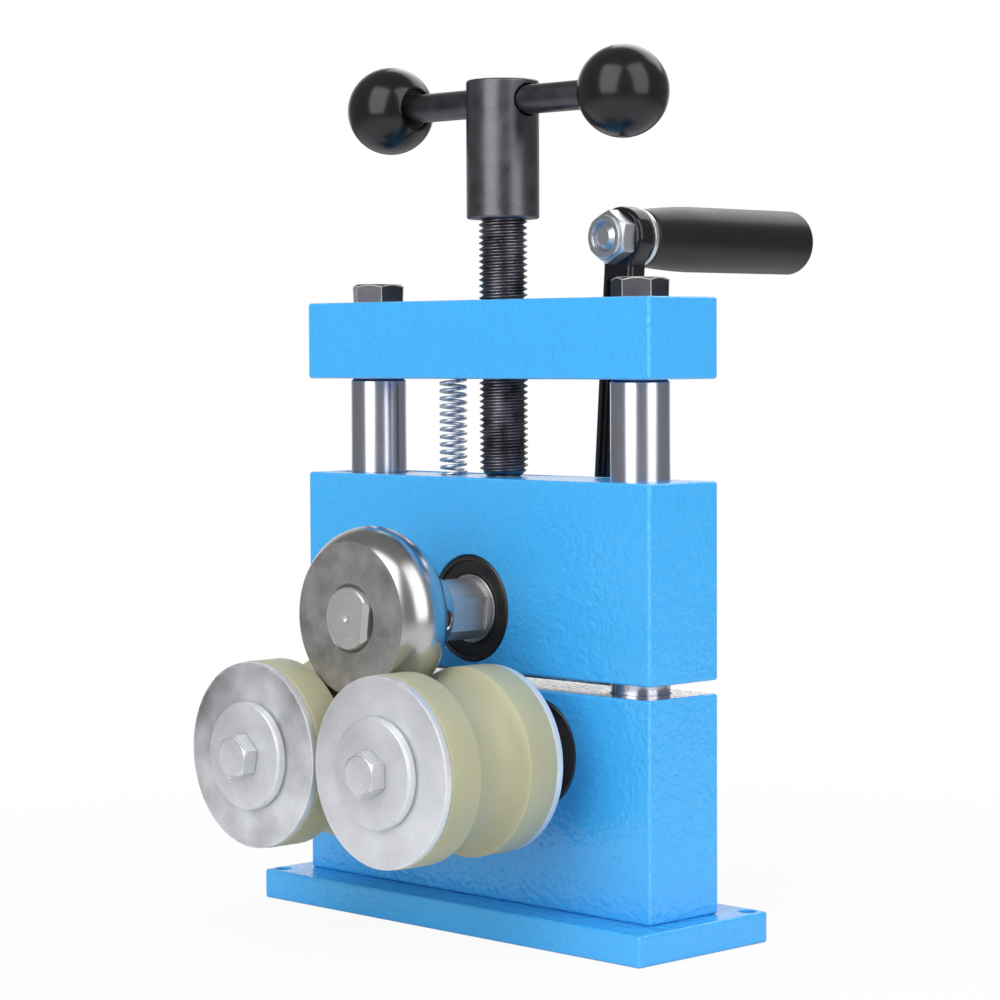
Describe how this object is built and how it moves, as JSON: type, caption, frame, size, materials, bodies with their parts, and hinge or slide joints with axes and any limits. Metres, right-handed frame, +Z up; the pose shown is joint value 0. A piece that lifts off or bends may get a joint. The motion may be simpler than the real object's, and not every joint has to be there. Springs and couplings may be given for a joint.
{
  "type": "bangle bending machine",
  "caption": "Hand cranked bench machine that bends bangles: a convex steel roller pressed between grooved nylon rollers by a feed screw with a T handle.",
  "frame": {"origin": "centre of the base plate's underside", "axes": "+Z up along the feed screw, +X to the right seen from the rollers' side, +Y from the rollers to the crank"},
  "size_m": [0.177, 0.2308, 0.2852],
  "materials": {
    "blue_paint": "glossy sky blue enamel with a slight orange peel",
    "post_chrome": "bright hard chrome",
    "black_oxide": "satin black oxide",
    "black_plastic": "glossy black moulded plastic",
    "black_enamel": "glossy black enamel on a casting",
    "zinc": "bright zinc plate",
    "galvanised": "dull galvanised steel, a little stained",
    "nylon": "translucent pale green nylon, turned",
    "ground_steel": "ground steel",
    "race_steel": "fine ground bearing steel",
    "polished_steel": "turned faces, polished rim",
    "seal_rubber": "matt black rubber",
    "bronze": "plain bronze"
  },
  "bodies": {
    "frame": {"base_plate": "blue_paint", "base_screws": "zinc", "lower_block": "blue_paint", "guide_post_left": "post_chrome", "guide_post_right": "post_chrome", "crossbar": "blue_paint", "post_bolts": "black_oxide", "return_spring": "zinc", "left_outer_races": "race_steel", "left_seals": "seal_rubber", "left_balls": "race_steel", "right_outer_races": "race_steel", "right_seals": "seal_rubber", "right_balls": "race_steel"},
    "head": {"upper_block": "blue_paint", "thrust_pad": "bronze", "upper_outer_races": "race_steel", "upper_seals": "seal_rubber", "upper_balls": "race_steel"},
    "screw": {"feed_screw": "black_oxide", "handle_hub": "black_oxide", "handle_bar": "black_oxide", "ball_knob_left": "black_plastic", "ball_knob_right": "black_plastic"},
    "crank": {"drive_shaft": "ground_steel", "bending_roller": "polished_steel", "roller_set_screw": "black_oxide", "upper_inner_races": "race_steel", "crank_spacer": "ground_steel", "crank_arm": "black_enamel", "crank_pin": "ground_steel", "grip_spindle": "zinc", "grip_nut": "zinc", "grip_washer": "zinc"},
    "grip": {"crank_grip": "black_plastic"},
    "left_idler": {"left_shaft": "ground_steel", "left_roller": "nylon", "left_front_disc": "galvanised", "left_rear_disc": "galvanised", "left_washer": "galvanised", "left_bolt": "galvanised", "left_circlip": "black_oxide", "left_inner_races": "race_steel"},
    "right_idler": {"right_shaft": "ground_steel", "right_roller": "nylon", "right_front_disc": "galvanised", "right_rear_disc": "galvanised", "right_washer": "galvanised", "right_bolt": "galvanised", "right_circlip": "black_oxide", "right_inner_races": "race_steel"}
  },
  "joints": [
    {"name": "head_slide", "type": "slide", "parent": "frame", "child": "head", "axis": [0, 0, 1], "range_m": [0, 0.014], "stiffness_N_per_m": 800, "springref_m": 0.0481, "deforming": ["return_spring"]},
    {"name": "screw_turn", "type": "hinge", "parent": "head", "child": "screw", "pos_m": [0, 0, 0.19], "axis": [0, 0, 1], "range_deg": [0, 2522]},
    {"name": "crank_turn", "type": "hinge", "parent": "head", "child": "crank", "pos_m": [0, 0, 0.1046], "axis": [0, 1, 0], "continuous": true},
    {"name": "grip_turn", "type": "hinge", "parent": "crank", "child": "grip", "pos_m": [0.00727, 0.097, 0.22698], "axis": [0, 1, 0], "continuous": true},
    {"name": "left_roller_turn", "type": "hinge", "parent": "frame", "child": "left_idler", "pos_m": [-0.0303, 0, 0.06], "axis": [0, 1, 0], "continuous": true},
    {"name": "right_roller_turn", "type": "hinge", "parent": "frame", "child": "right_idler", "pos_m": [0.0303, 0, 0.06], "axis": [0, 1, 0], "continuous": true}
  ],
  "couplings": [
    {"joint": "screw_turn", "follows": "head_slide", "rad_per_m": 3141.6}
  ]
}
